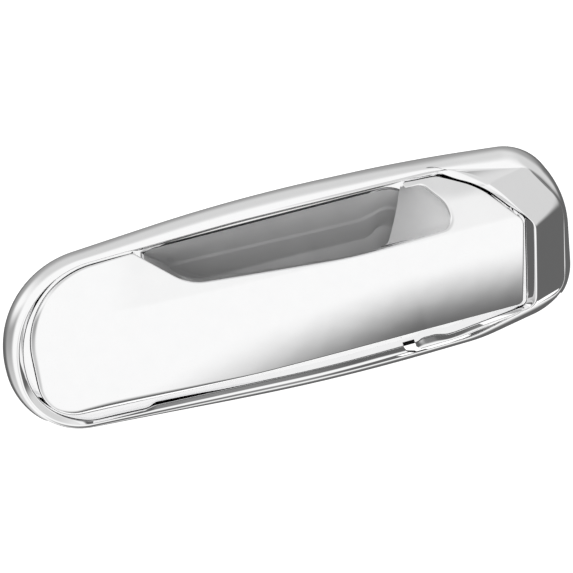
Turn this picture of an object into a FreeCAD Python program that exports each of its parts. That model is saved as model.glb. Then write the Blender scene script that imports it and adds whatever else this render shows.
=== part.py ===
import FreeCAD, Part
import math
import os

from FreeCAD import Vector

# A chrome-plated cover kit for an outside car door handle: a base cover (frame, finger bucket and
# raised end boss) and a lever cover (paddle, hub and scoop), with the foam tape that holds them.
# The shapes are worked out lying down: x along the handle, y up the door, z out from the door skin.
# At the end they turn upright: x along, z up, the front facing -y and the door skin at y = 0.

# Overall size
LENGTH = 239.3
HEIGHT = 84.0
WALL = 2.0

# Frame: from the door skin up its rounded side to the ridge, then down the lip into the recess
EDGE_HEIGHT = 1.2
CROWN_HEIGHT = 8.0
RIDGE_RISE = 0.4
LIP_DROP = 1.8
LIP_STEP = 1.4
WALL_DRAFT = 0.6
TRAY_DEPTH = 1.0

# Raised boss at the right end
BOSS_HEIGHT = 22.5
BOSS_SHOULDER = 10.0

# Finger bucket
BUCKET_DEPTH = 14.0
LEDGE_DEPTH = 9.0
LEDGE_WIDTH = 1.4

# Drain notch in the lower lip
NOTCH_WIDTH = 4.8
NOTCH_X = 43.2

# Lever cover: the paddle's front slopes down above its shoulder, and again at the hub's upper crease
PADDLE_LEFT_HEIGHT = 9.0
PADDLE_HEIGHT = 25.5
PADDLE_LOWER_DROP = 6.0
SHOULDER_Y = 9.6
UPPER_SLOPE_LEFT = 0.06
UPPER_SLOPE_MIDDLE = 0.43
UPPER_SLOPE_HUB = 0.53
HUB_SLOPE = 0.32
SLOPE_EASING = 4.0
RETURN_DEPTH = 8.0

# Foam tape: the places are distances from the ends of the cover, and from its middle
TAPE_THICKNESS = 1.1
TAPE_WIDTH = 12.0
TAPE_CORNER = 1.5
BASE_TAPE_HEIGHT = 36.0
LEVER_TAPE_HEIGHT = 22.0
BUCKET_TAPE_LENGTH = 60.0
BASE_TAPE_FROM_LEFT = 36.0
BASE_TAPE_FROM_RIGHT = 37.0
BUCKET_TAPE_X = 6.0
LEVER_TAPE_FROM_LEFT = 44.0
LEVER_TAPE_FROM_RIGHT = 39.0
LEVER_TAPE_X = 0.0

# Spacing of the points that the guides are drawn through, and how far a change of slope is eased
FRAME_SPACING = 7.5
BUCKET_SPACING = 9.0
EASING_PASSES = 3
FRONT_STEP = 4.0
LOFT_TOP = 30.0

left = -LENGTH / 2
right = LENGTH / 2
top = HEIGHT / 2
bottom = -HEIGHT / 2
tray = -TRAY_DEPTH
ridge = CROWN_HEIGHT + RIDGE_RISE
lip = ridge - LIP_DROP


def lerp(a, b, share):
    return a + (b - a) * share


def smooth(value, start, end):
    """0 before start, 1 after end, and an S-curve between."""
    share = min(1.0, max(0.0, (value - start) / (end - start)))
    return share * share * (3 - 2 * share)


def corner_arcs(corners):
    """For each corner (x, y, radius, z): its arc's start, middle and end, with radii that fit."""
    count = len(corners)
    turns = []
    lengths = []
    sides = []
    for i in range(count):
        before, here, after = corners[i - 1], corners[i], corners[(i + 1) % count]
        arriving = Vector(here[0] - before[0], here[1] - before[1], 0)
        leaving = Vector(after[0] - here[0], after[1] - here[1], 0)
        turn = arriving.getAngle(leaving)
        turns.append(turn)
        sides.append(leaving.Length)
        lengths.append(here[2] * math.tan(turn / 2))
    shares = [1.0] * count
    for i in range(count):
        j = (i + 1) % count
        room = 0.98 * sides[i] / max(1e-9, lengths[i] + lengths[j])
        shares[i] = min(shares[i], room)
        shares[j] = min(shares[j], room)
    arcs = []
    for i in range(count):
        before, here, after = corners[i - 1], corners[i], corners[(i + 1) % count]
        point = Vector(here[0], here[1], 0)
        arriving = (point - Vector(before[0], before[1], 0)).normalize()
        leaving = (Vector(after[0], after[1], 0) - point).normalize()
        length = lengths[i] * shares[i]
        radius = here[2] * shares[i]
        start = point - arriving * length
        end = point + leaving * length
        inward = (leaving - arriving).normalize()
        reach = radius * (1 / math.cos(turns[i] / 2) - 1)
        arcs.append((start, point + inward * reach, end, radius, point + inward * (reach + radius)))
    return arcs


def rounded_wire(corners, z):
    """Flat closed wire of straight sides and tangent arcs at height z."""
    arcs = corner_arcs(corners)
    lift = Vector(0, 0, z)
    edges = []
    for i, (start, middle, end, radius, centre) in enumerate(arcs):
        edges.append(Part.Arc(start + lift, middle + lift, end + lift).toShape())
        following = arcs[(i + 1) % len(arcs)][0]
        edges.append(Part.LineSegment(end + lift, following + lift).toShape())
    return Part.Wire(edges)


def inset(corners, distance):
    """The same corners with every side moved inward (clockwise outline) by distance."""
    count = len(corners)
    moved = []
    for i in range(count):
        before, here, after = corners[i - 1], corners[i], corners[(i + 1) % count]
        a = Vector(here[0] - before[0], here[1] - before[1], 0).normalize()
        b = Vector(after[0] - here[0], after[1] - here[1], 0).normalize()
        normal_a = Vector(a.y, -a.x, 0)
        normal_b = Vector(b.y, -b.x, 0)
        bisector = (normal_a + normal_b).normalize()
        reach = distance / bisector.dot(normal_b)
        outward_turn = a.x * b.y - a.y * b.x
        radius = here[2] + (distance if outward_turn > 0 else -distance)
        moved.append((here[0] + bisector.x * reach, here[1] + bisector.y * reach,
                      max(0.4, radius)) + tuple(here[3:]))
    return moved


def path_length(arcs, i):
    """Lengths from one arc's middle to the next's: half an arc, the straight side, half an arc."""
    here, after = arcs[i], arcs[(i + 1) % len(arcs)]
    first = here[3] * (here[1] - here[4]).getAngle(here[2] - here[4])
    last = after[3] * (after[0] - after[4]).getAngle(after[1] - after[4])
    return first, (after[0] - here[2]).Length, last


def on_arc(arc, from_point, distance):
    """The point at a distance along an arc from one of its points, towards the arc's end."""
    start, middle, end, radius, centre = arc
    side = 1 if (start - centre).cross(end - centre).z > 0 else -1
    angle = math.atan2(from_point.y - centre.y, from_point.x - centre.x) + side * distance / radius
    return Vector(centre.x + radius * math.cos(angle), centre.y + radius * math.sin(angle), 0)


def eased(values):
    """Closed list of heights with each turn between two slopes spread over its neighbours."""
    count = len(values)
    for _ in range(EASING_PASSES):
        values = [(values[i - 1] + 2 * values[i] + values[(i + 1) % count]) / 4 for i in range(count)]
    return values


def stations(corners, counts):
    """Points round a guide, evenly spaced between corners, so that guides match point for point."""
    arcs = corner_arcs(corners)
    points = []
    heights = []
    for i, count in enumerate(counts):
        here, after = arcs[i], arcs[(i + 1) % len(arcs)]
        first, side, last = path_length(arcs, i)
        for step in range(count):
            distance = (first + side + last) * step / count
            if distance < first:
                point = on_arc(here, here[1], distance)
            elif distance < first + side:
                point = here[2] + (after[0] - here[2]) * ((distance - first) / side)
            else:
                point = on_arc(after, after[0], distance - first - side)
            points.append(point)
            heights.append(lerp(corners[i][3], corners[(i + 1) % len(arcs)][3], step / count))
    return [Vector(p.x, p.y, z) for p, z in zip(points, eased(heights))]


def station_counts(corners, spacing):
    arcs = corner_arcs(corners)
    return [max(4, round(sum(path_length(arcs, i)) / spacing)) for i in range(len(arcs))]


def guide_wire(points):
    """Smooth closed curve through the points, with the same spacing on every guide."""
    curve = Part.BSplineCurve()
    places = [float(i) for i in range(len(points) + 1)]
    curve.interpolate(Points=points, PeriodicFlag=True, Parameters=places)
    return Part.Wire([curve.toShape()])


# Guides of the base cover, clockwise from the top left corner: x, y, radius, height
outline = [
    (left, top - 7.0, 44, 0),
    (left + 107, top + 1.0, 700, 0),
    (right - 58.5, top - 1.3, 700, 0),
    (right - 10.6, top - 6.2, 21, 0),
    (right + 1.1, top - 30.9, 40, 0),
    (right - 6.6, bottom + 8.9, 24, 0),
    (right - 44.5, bottom + 1.5, 90, 0),
    (right - 108.5, bottom - 1.5, 900, 0),
    (left, bottom + 8.3, 33, 0),
]


def follow(moves):
    """A guide whose corners are the outline's, moved by (x, y), with its own radii and heights."""
    return [(o[0] + m[0], o[1] + m[1], m[2], m[3]) for o, m in zip(outline, moves)]


shoulder_guide = follow([
    (4.8, -1.6, 41, CROWN_HEIGHT),
    (0, -6.3, 600, CROWN_HEIGHT),
    (10, -4.7, 60, lerp(CROWN_HEIGHT, BOSS_HEIGHT, 0.11)),
    (-1.7, -8.2, 7, BOSS_SHOULDER),
    (-2.4, -3.0, 18, 0.6 * BOSS_SHOULDER),
    (-2.5, 5.8, 10, 0.55 * BOSS_SHOULDER),
    (-6.0, 4.2, 50, CROWN_HEIGHT),
    (0, 5.6, 700, CROWN_HEIGHT),
    (4.8, 1.0, 25, CROWN_HEIGHT),
])
ridge_guide = follow([
    (6.0, -2.3, 40, ridge),
    (0, -7.7, 600, ridge),
    (16.5, -5.3, 20, lerp(ridge, BOSS_HEIGHT, 0.2)),
    (-18.2, -8.3, 60, lerp(ridge, BOSS_HEIGHT, 0.7)),
    (-15.7, -4.9, 5, BOSS_HEIGHT),
    (-15.4, 5.8, 6, BOSS_HEIGHT - 2.0),
    (-12.0, 5.8, 60, lerp(ridge, BOSS_HEIGHT, 0.1)),
    (0, 7.2, 600, ridge),
    (5.7, 1.8, 24, ridge),
])
lip_guide = follow([
    (8.3, -3.6, 38, lip),
    (0, -8.9, 600, lip),
    (9.2, -6.3, 14, lerp(lip, BOSS_HEIGHT, 0.2)),
    (-22.0, -8.7, 30, lerp(lip, BOSS_HEIGHT, 0.66)),
    (-19.4, -1.4, 4, BOSS_HEIGHT - 2.6),
    (-19.4, 6.6, 4, BOSS_HEIGHT - 5.5),
    (-13.0, 8.0, 50, lerp(lip, BOSS_HEIGHT, 0.05)),
    (0, 9.5, 600, lip),
    (7.8, 3.4, 24, lip),
])


def at_height(corners, z):
    return [(c[0], c[1], c[2], z) for c in corners]


def lowered(corners, drop):
    return [(c[0], c[1], c[2], c[3] - drop) for c in corners]


def blend_points(a, b, along, rise):
    """Points between two guides: share `along` in plan and share `rise` in height."""
    return [Vector(lerp(p.x, q.x, along), lerp(p.y, q.y, along), lerp(p.z, q.z, rise))
            for p, q in zip(a, b)]


def crown_rows(edge, shoulder, steps):
    """Rows of a quarter-ellipse crown from an upright edge to a level shoulder."""
    rows = []
    for step in range(1, steps):
        angle = math.pi / 2 * step / steps
        rows.append(blend_points(edge, shoulder, 1 - math.cos(angle), math.sin(angle)))
    return rows


def stepped(points):
    """The lip with its small outward steps beside the lever's end and over the hub."""
    moved = []
    for p in points:
        if p.y > 0:
            step = (1 - smooth(p.x, left + 60.5, left + 65.5)) * smooth(p.x, left + 12, left + 38)
            step += smooth(p.x, right - 68, right - 63) * (1 - smooth(p.x, right - 52, right - 40))
            moved.append(p + Vector(0, LIP_STEP * step, 0))
        else:
            step = (1 - smooth(p.x, left + 51, left + 57)) * smooth(p.x, left + 19, left + 33)
            moved.append(p - Vector(0, 0.5 * LIP_STEP * step, 0))
    return moved


def straight_bands(rows):
    """Ruled faces from each closed row of points to the next."""
    return Part.makeLoft([guide_wire(row) for row in rows], False, True).Faces


def flat_face(row, hole=None):
    """Flat face inside a closed row of points, with a hole along another where one is given."""
    wires = [guide_wire(row)] + ([guide_wire(hole)] if hole else [])
    return Part.makeFace(wires, "Part::FaceMakerBullseye")


def closed_solid(faces):
    compound = Part.makeCompound(faces)
    compound.sewShape(0.01)
    solid = Part.Solid(Part.Shell(compound.Faces))
    if solid.Volume < 0:
        solid.reverse()
    return solid


bucket_edge = [
    (left + 59, top - 10.6, 12, tray),
    (right - 80, top - 10.1, 300, tray),
    (right - 60, top - 10.8, 9, tray),
    (right - 60, bottom + 23, 12, tray),
    (left + 59, bottom + 23, 14, tray),
]
ledge_outer = [
    (left + 70, top - 21, 8, -LEDGE_DEPTH),
    (right - 82, top - 22.6, 40, -LEDGE_DEPTH),
    (right - 63, top - 16.2, 9, -LEDGE_DEPTH),
    (right - 63.5, bottom + 28, 9, -LEDGE_DEPTH),
    (left + 70, bottom + 28, 8, -LEDGE_DEPTH),
]
ledge_inner = lowered(inset(ledge_outer, LEDGE_WIDTH), 0.3)
bucket_floor = [
    (left + 80.6, top - 31.8, 8, -BUCKET_DEPTH),
    (right - 80, top - 31.8, 8, -BUCKET_DEPTH),
    (right - 66.5, top - 20.5, 6, -BUCKET_DEPTH),
    (right - 66.5, bottom + 31.5, 8, -BUCKET_DEPTH),
    (left + 80.6, bottom + 31.5, 8, -BUCKET_DEPTH),
]


def base_cover():
    frame_counts = station_counts(outline, FRAME_SPACING)
    bucket_counts = station_counts(bucket_edge, BUCKET_SPACING)

    def frame(corners):
        return stations(corners, frame_counts)

    def bucket(corners):
        return stations(corners, bucket_counts)

    foot = at_height(outline, 0)
    edge = frame(at_height(outline, EDGE_HEIGHT))
    shoulder = frame(shoulder_guide)
    lip_line = stepped(frame(lip_guide))
    wall_foot = stepped(frame(inset(at_height(lip_guide, tray), WALL_DRAFT)))
    faces = straight_bands([frame(foot), edge])
    faces += straight_bands([edge] + crown_rows(edge, shoulder, 6) + [shoulder])
    faces += straight_bands([shoulder, frame(ridge_guide), lip_line, wall_foot])
    faces += [flat_face(wall_foot, bucket(bucket_edge))]
    faces += straight_bands([bucket(g) for g in (bucket_edge, ledge_outer, ledge_inner, bucket_floor)])
    faces += [flat_face(bucket(bucket_floor))]

    inner_foot = frame(inset(foot, WALL))
    inner_shoulder = frame(lowered(inset(shoulder_guide, 0.25 * WALL), WALL))
    inner_lip = stepped(frame(inset(lip_guide, -WALL)))
    inner_ridge = [Vector(p.x, p.y, q.z - 1.1 * WALL) for p, q in zip(inner_lip, frame(ridge_guide))]
    wall_back = stepped(frame(inset(at_height(lip_guide, tray - WALL), WALL_DRAFT - WALL)))
    faces += [flat_face(frame(foot), inner_foot)]
    faces += straight_bands([inner_foot] + crown_rows(inner_foot, inner_shoulder, 3) + [inner_shoulder])
    faces += straight_bands([inner_shoulder, inner_ridge, wall_back])
    bucket_backs = [
        bucket(at_height(inset(bucket_edge, -WALL), tray - WALL)),
        bucket(lowered(inset(ledge_outer, -0.6 * WALL), 0.8 * WALL)),
        bucket(lowered(inset(bucket_floor, -0.6 * WALL), WALL)),
    ]
    faces += [flat_face(wall_back, bucket_backs[0])]
    faces += straight_bands(bucket_backs)
    faces += [flat_face(bucket_backs[-1])]
    return closed_solid(faces)


def eased_ramp(distance, width):
    """0 below zero, then a parabola over width, then a straight slope of 1."""
    if distance <= 0:
        return 0.0
    return distance * distance / (2 * width) if distance < width else distance - width / 2


def hub_crease(x):
    """How far up the door the soft crease across the hub lies."""
    return top - 15.5 - 1.5 * smooth(x, right - 54, right - 42) - 14 * smooth(x, right - 36, right - 16)


def paddle_height(x, y):
    """Height of the lever cover's front: low at its left end, with a shoulder and a sloped top."""
    run = min(1.0, max(0.0, (x - (left + 11)) / (LENGTH * 0.67)))
    crest = lerp(PADDLE_LEFT_HEIGHT, PADDLE_HEIGHT, 1 - (1 - run) ** 2.2)
    below = max(0.0, SHOULDER_Y - y) / (SHOULDER_Y - bottom - 15)
    slope = lerp(UPPER_SLOPE_LEFT, UPPER_SLOPE_MIDDLE, smooth(x, left + 8, left + 62))
    slope += (UPPER_SLOPE_HUB - UPPER_SLOPE_MIDDLE) * smooth(x, left + 62, right - 60)
    upper = slope * eased_ramp(y - SHOULDER_Y + 0.25 * SLOPE_EASING, SLOPE_EASING)
    hub = HUB_SLOPE * smooth(x, right - 90, right - 65)
    hub *= eased_ramp(y - hub_crease(x) + 0.4 * SLOPE_EASING, SLOPE_EASING)
    return crest - lerp(0.3, 1.0, run) * PADDLE_LOWER_DROP * below ** 2 - upper - hub


def front_surface():
    """Smooth surface through the paddle heights on an even grid."""
    step_x = 2 * FRONT_STEP
    step_y = FRONT_STEP / 2
    start_x = left - 10.0
    start_y = bottom - 6.0
    rows = [[paddle_height(start_x + i * step_x, start_y + j * step_y)
             for j in range(math.ceil((HEIGHT + 12) / step_y) + 1)]
            for i in range(math.ceil((LENGTH + 20) / step_x) + 1)]
    surface = Part.BSplineSurface()
    surface.interpolate(rows, start_x, step_x, start_y, step_y)
    return surface.toShape()


def under_front(front, depth):
    """Everything below the paddle's front surface lowered by depth."""
    face = front.translated(Vector(0, 0, -depth))
    return face.extrude(Vector(0, 0, -3 * PADDLE_HEIGHT))


# Guides of the lever cover's sides, clockwise from the top left: where they meet the front, and
# where they end at the tray. The scoop for the fingertips runs in under the hub's left edge.
rim_guide = [
    (left + 17.2, top - 11.0, 29),
    (left + 62.4, top - 8.8, 2.5),
    (left + 81.7, top - 25.0, 22),
    (right - 89, top - 29.4, 200),
    (right - 47, top - 27.8, 5),
    (right - 47.8, top - 18.5, 14),
    (right - 55.2, top - 10.0, 5),
    (right - 63, top - 9.6, 0.8),
    (right - 63, top - 7.5, 0.6),
    (right - 49.8, top - 7.9, 12),
    (right - 33.8, top - 15.4, 30),
    (right - 19.2, top - 31.6, 4),
    (right - 27.4, bottom + 17.0, 2.5),
    (right - 140, bottom + 15.2, 900),
    (left + 39.6, bottom + 15.2, 900),
    (left + 12.2, bottom + 15.0, 17),
]
lever_foot = [
    (left + 10.8, top - 11.6, 35),
    (left + 63, top - 9.6, 3),
    (left + 83.1, top - 26.4, 20),
    (right - 99, top - 32.6, 100),
    (right - 75, top - 34.4, 4),
    (right - 69, top - 23.0, 100),
    (right - 65, top - 13.2, 30),
    (right - 63.4, top - 10.0, 0.8),
    (right - 63.4, top - 8.0, 0.6),
    (right - 49.8, top - 8.3, 12),
    (right - 33.9, top - 15.6, 30),
    (right - 19.9, top - 32.6, 4),
    (right - 28.0, bottom + 17.6, 4),
    (right - 140, bottom + 10.8, 900),
    (left + 39.6, bottom + 12.0, 150),
    (left + 10.8, bottom + 14.0, 21),
]
# The hollow leaves out the scoop's own corners, and keeps a straight wall behind it
scoop_corners = (5, 6, 7, 8)
hollow_rim_corner = (right - 45.0, top - 9.6, 4)
hollow_foot_corner = (right - 59.5, top - 8.6, 4)


def raised(foot, rim):
    """The guide that a straight wall from the foot through the rim reaches at the loft's top."""
    corners = []
    for f, r in zip(foot, rim):
        share = (LOFT_TOP - tray) / (paddle_height(r[0], r[1]) - tray)
        corners.append((lerp(f[0], r[0], share), lerp(f[1], r[1], share), r[2]))
    return corners


def without_scoop(corners, corner):
    kept = [c for i, c in enumerate(corners) if i not in scoop_corners]
    kept[scoop_corners[0]] = corner
    return kept


def drafted(foot, top_corners, low, high):
    return Part.makeLoft([rounded_wire(foot, low), rounded_wire(top_corners, high)], True, True)


def lever_cover(front):
    outer = drafted(lever_foot, raised(lever_foot, rim_guide), tray, LOFT_TOP)
    outer = outer.common(under_front(front, 0))
    inner_foot = inset(without_scoop(lever_foot, hollow_foot_corner), WALL)
    inner_rim = inset(without_scoop(rim_guide, hollow_rim_corner), WALL)
    hollow = drafted(inner_foot, raised(inner_foot, inner_rim), tray - 0.01, LOFT_TOP)
    hollow = hollow.common(under_front(front, WALL))
    passage_left = lever_foot[2][0] - 8.0
    passage_right = lever_foot[4][0] - 2.8
    passage = Part.makeBox(passage_right - passage_left, 30.0, LOFT_TOP - tray,
                           Vector(passage_left, -5.0, tray))
    passage = passage.common(under_front(front, RETURN_DEPTH))
    return outer.cut(hollow).cut(passage).Solids[0]


def drain_notch():
    """Block that opens the lower lip into the hollow of the frame."""
    low = min(point.y for point in stations(lip_guide, station_counts(outline, FRAME_SPACING)))
    return Part.makeBox(NOTCH_WIDTH, 6.0, CROWN_HEIGHT, Vector(NOTCH_X - NOTCH_WIDTH / 2, low - 2.4, 3.0))


def pad(x, y, width, height, z):
    """Flat foam pad centred at x, y with its front face at z."""
    block = Part.makeBox(width, height, TAPE_THICKNESS,
                         Vector(x - width / 2, y - height / 2, z - TAPE_THICKNESS))
    upright = [edge for edge in block.Edges if abs(edge.tangentAt(edge.FirstParameter).z) > 0.9]
    return block.makeFillet(TAPE_CORNER, upright)


def lever_tape(front, x):
    """Foam strip that follows the back of the paddle's front wall."""
    strip = Part.makeBox(TAPE_WIDTH, LEVER_TAPE_HEIGHT, 2 * LOFT_TOP,
                         Vector(x - TAPE_WIDTH / 2, SHOULDER_Y - 4.0 - LEVER_TAPE_HEIGHT, -LOFT_TOP))
    layer = under_front(front, WALL).cut(under_front(front, WALL + TAPE_THICKNESS))
    return layer.common(strip).Solids[0]


def main():
    os.makedirs("parts", exist_ok=True)
    front = front_surface()
    pieces = {
        "base_cover": base_cover().cut(drain_notch()).Solids[0],
        "lever_cover": lever_cover(front),
        "base_tape_left": pad(left + BASE_TAPE_FROM_LEFT, 0, TAPE_WIDTH, BASE_TAPE_HEIGHT, tray - WALL),
        "base_tape_right": pad(right - BASE_TAPE_FROM_RIGHT, -6, TAPE_WIDTH, BASE_TAPE_HEIGHT, tray - WALL),
        "base_tape_bucket": pad(BUCKET_TAPE_X, 0, BUCKET_TAPE_LENGTH, TAPE_WIDTH, -BUCKET_DEPTH - WALL),
        "lever_tape_left": lever_tape(front, left + LEVER_TAPE_FROM_LEFT),
        "lever_tape_middle": lever_tape(front, LEVER_TAPE_X),
        "lever_tape_right": lever_tape(front, right - LEVER_TAPE_FROM_RIGHT),
    }
    for name, piece in pieces.items():
        piece.rotate(Vector(0, 0, 0), Vector(1, 0, 0), 90)
        box = piece.BoundBox
        print(name, piece.ShapeType, piece.isValid(), round(piece.Volume), box)
        piece.exportStep(f"parts/{name}.step")


if __name__ == "__main__":
    main()
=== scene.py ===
import bpy
import math
import numpy as np
from mathutils import Matrix, Vector
from mathutils.geometry import delaunay_2d_cdt


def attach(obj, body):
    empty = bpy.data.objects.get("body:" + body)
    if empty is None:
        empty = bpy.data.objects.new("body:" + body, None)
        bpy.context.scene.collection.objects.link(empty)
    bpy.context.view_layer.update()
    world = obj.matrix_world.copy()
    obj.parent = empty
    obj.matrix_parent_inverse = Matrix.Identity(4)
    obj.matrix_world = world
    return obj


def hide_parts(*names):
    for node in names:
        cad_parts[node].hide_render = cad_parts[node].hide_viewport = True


# Chrome-plated cover kit for an outside car door handle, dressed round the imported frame.
# The two plated covers are modelled lying down, in millimetres: x along the handle, y up the door
# and z out from the door skin. stand_up() turns them into the row frame.

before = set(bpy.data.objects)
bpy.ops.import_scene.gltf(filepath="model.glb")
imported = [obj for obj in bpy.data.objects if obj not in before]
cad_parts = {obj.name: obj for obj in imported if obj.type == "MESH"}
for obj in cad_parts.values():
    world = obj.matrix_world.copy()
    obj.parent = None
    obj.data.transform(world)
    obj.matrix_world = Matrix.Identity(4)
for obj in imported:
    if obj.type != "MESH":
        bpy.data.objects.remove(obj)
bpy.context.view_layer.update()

MM = 0.001

# Overall size
LENGTH = 239.3
HEIGHT = 84.0
WALL = 2.0
left = -LENGTH / 2
right = LENGTH / 2
top = HEIGHT / 2
bottom = -HEIGHT / 2

# Frame section
EDGE_HEIGHT = 1.2
CROWN_HEIGHT = 8.0
RIDGE_RISE = 0.4
LIP_DROP = 1.8
LIP_STEP = 1.4
WALL_DRAFT = 0.6
TRAY = -1.0
RIDGE = CROWN_HEIGHT + RIDGE_RISE
LIP = RIDGE - LIP_DROP
BOSS_HEIGHT = 22.5
BOSS_SHOULDER = 10.0

# Drain notch in the lower lip, and the moulded swelling beside it
NOTCH_WIDTH = 4.8
NOTCH_X = 43.2
NOTCH_LOW = bottom + 5.2
SWELLING = 1.1

# Finger bucket
BUCKET_DEPTH = 14.0
LEDGE_DEPTH = 9.0
LEDGE_WIDTH = 1.4

# Foam tape: thickness, sizes, and distances from the cover's ends and from its middle
TAPE = 1.1
TAPE_WIDTH = 12
BASE_TAPE_HEIGHT = 36
BASE_TAPE_FROM_LEFT = 36
BASE_TAPE_FROM_RIGHT = 37
BASE_TAPE_DROP = 6
BUCKET_TAPE_LENGTH = 60
BUCKET_TAPE_X = 6
LEVER_TAPE_HEIGHT = 22
LEVER_TAPE_FROM_LEFT = 44
LEVER_TAPE_FROM_RIGHT = 39
LEVER_TAPE_BELOW_SHOULDER = 15

# Lever cover
PADDLE_LEFT_HEIGHT = 9.0
PADDLE_HEIGHT = 25.5
PADDLE_LOWER_DROP = 6.0
SHOULDER_Y = 9.6
RETURN_DEPTH = 8.0
SCOOP_WALL = 3.4
SCOOP_UNDERCUT = 2.2
SCOOP_ROUND = 6.0

# Where the lever cover's wall is a short return, over the finger opening
RETURN_START = -46.0
RETURN_END = 42.0
RETURN_EASE = 4.0

# Edge roundings of the base cover
SHOULDER_ROUND = 1.2
RIDGE_ROUND = 1.3
LIP_ROUND = 0.6
MOUTH_ROUND = 1.2
LEDGE_ROUND = 0.7
FLOOR_ROUND = 3.0
BACK_ROUND = 1.0
CUP_ROUND = 2.0

# How finely the meshes are drawn
STATION_SPACING = 0.62
GRID_SPACING = 1.1
HOLLOW_SPACING = 1.2
HOLLOW_GRID = 2.5
HEIGHT_EASING = 8.5
LEVER_EASING = 3.0
CROWN_STEPS = 14
BACK_CROWN_STEPS = 8
SHARP_ANGLE = math.radians(32)

# Material slots of the two shells
CHROME = 0
DULL = 1
SATIN = 2


def lerp(a, b, share):
    """The value that lies a share of the way from a to b."""
    return a + (b - a) * share


def smooth(value, start, end):
    """0 before start, 1 after end, and an S-curve between."""
    share = np.clip((np.asarray(value, float) - start) / (end - start), 0, 1)
    return share * share * (3 - 2 * share)


def eased_ramp(distance, width):
    """0 below zero, then a parabola over width, then a straight slope of 1."""
    distance = np.asarray(distance, float)
    bend = distance * distance / (2 * width)
    return np.where(distance <= 0, 0, np.where(distance < width, bend, distance - width / 2))


def corner_arcs(corners):
    """Start, middle, end, radius and centre of each corner's arc, as complex numbers."""
    points = [complex(c[0], c[1]) for c in corners]
    count = len(points)
    turns, lengths, sides = [], [], []
    for i in range(count):
        arriving = points[i] - points[i - 1]
        leaving = points[(i + 1) % count] - points[i]
        turn = abs(np.angle(leaving / arriving))
        turns.append(turn)
        sides.append(abs(leaving))
        lengths.append(corners[i][2] * math.tan(turn / 2))
    shares = [1.0] * count
    for i in range(count):
        j = (i + 1) % count
        room = 0.98 * sides[i] / max(1e-9, lengths[i] + lengths[j])
        shares[i] = min(shares[i], room)
        shares[j] = min(shares[j], room)
    arcs = []
    for i in range(count):
        arriving = points[i] - points[i - 1]
        leaving = points[(i + 1) % count] - points[i]
        arriving /= abs(arriving)
        leaving /= abs(leaving)
        start = points[i] - arriving * lengths[i] * shares[i]
        end = points[i] + leaving * lengths[i] * shares[i]
        inward = (leaving - arriving) / abs(leaving - arriving)
        radius = corners[i][2] * shares[i]
        reach = radius * (1 / math.cos(turns[i] / 2) - 1)
        middle = points[i] + inward * reach
        arcs.append((start, middle, end, radius, points[i] + inward * (reach + radius)))
    return arcs


def side_lengths(arcs, i):
    """Lengths from one arc's middle to the next's: half an arc, the straight side, half an arc."""
    start, middle, end, radius, centre = arcs[i]
    next_start, next_middle, next_end, next_radius, next_centre = arcs[(i + 1) % len(arcs)]
    first = radius * abs(np.angle((end - centre) / (middle - centre)))
    last = next_radius * abs(np.angle((next_middle - next_centre) / (next_start - next_centre)))
    return first, abs(next_start - end), last


def station_counts(corners, spacing=STATION_SPACING):
    """How many stations lie between each corner and the next."""
    arcs = corner_arcs(corners)
    return [max(6, round(sum(side_lengths(arcs, i)) / spacing)) for i in range(len(arcs))]


def turning(arc, point, distance):
    """Points at distances along an arc from one of its points, towards the arc's end."""
    start, middle, end, radius, centre = arc
    side = 1 if np.angle((end - centre) / (start - centre)) > 0 else -1
    return centre + (point - centre) * np.exp(1j * side * distance / radius)


def stations(corners, counts, easing=HEIGHT_EASING):
    """Rows of x, y and the corners' further values (height first), evenly spaced between corners."""
    arcs = corner_arcs(corners)
    plan, values = [], []
    for i, count in enumerate(counts):
        here, after = arcs[i], arcs[(i + 1) % len(arcs)]
        first, side, last = side_lengths(arcs, i)
        share = np.arange(count) / count
        distance = (first + side + last) * share
        along = here[2] + (after[0] - here[2]) * (distance - first) / max(1e-9, side)
        turned = turning(after, after[0], distance - first - side)
        plan.append(np.where(distance < first, turning(here, here[1], distance),
                             np.where(distance < first + side, along, turned)))
        low = np.array(corners[i][3:], float)
        high = np.array(corners[(i + 1) % len(corners)][3:], float)
        values.append(lerp(low[None], high[None], share[:, None]))
    plan = np.concatenate(plan)
    values = np.concatenate(values)
    count = len(plan)
    spacing = np.abs(np.roll(plan, -1) - plan).sum() / count
    step = np.arange(count)
    reach = np.minimum(step, count - step) * spacing
    weight = np.exp(-reach**2 / (2 * easing**2))
    blur = np.fft.fft(weight / weight.sum())
    values = np.real(np.fft.ifft(np.fft.fft(values, axis=0) * blur[:, None], axis=0))
    return np.column_stack([plan.real, plan.imag, values])


def inset(corners, distance):
    """The same corners with every side moved inward (clockwise outline) by distance."""
    points = [complex(c[0], c[1]) for c in corners]
    count = len(points)
    moved = []
    for i, corner in enumerate(corners):
        a = points[i] - points[i - 1]
        b = points[(i + 1) % count] - points[i]
        a /= abs(a)
        b /= abs(b)
        bisector = -1j * (a + b) / abs(a + b)
        normal = -1j * b
        reach = distance / (bisector.real * normal.real + bisector.imag * normal.imag)
        place = points[i] + bisector * reach
        turn = (b / a).imag
        radius = max(0.4, corner[2] + (distance if turn > 0 else -distance))
        moved.append((place.real, place.imag, radius) + tuple(corner[3:]))
    return moved


def at_height(corners, z):
    """The corners' x, y and radius, all at one height."""
    return [(c[0], c[1], c[2], z) for c in corners]


def lowered(corners, drop):
    """The same corners, each lower by drop."""
    return [(c[0], c[1], c[2], c[3] - drop) for c in corners]


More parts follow.
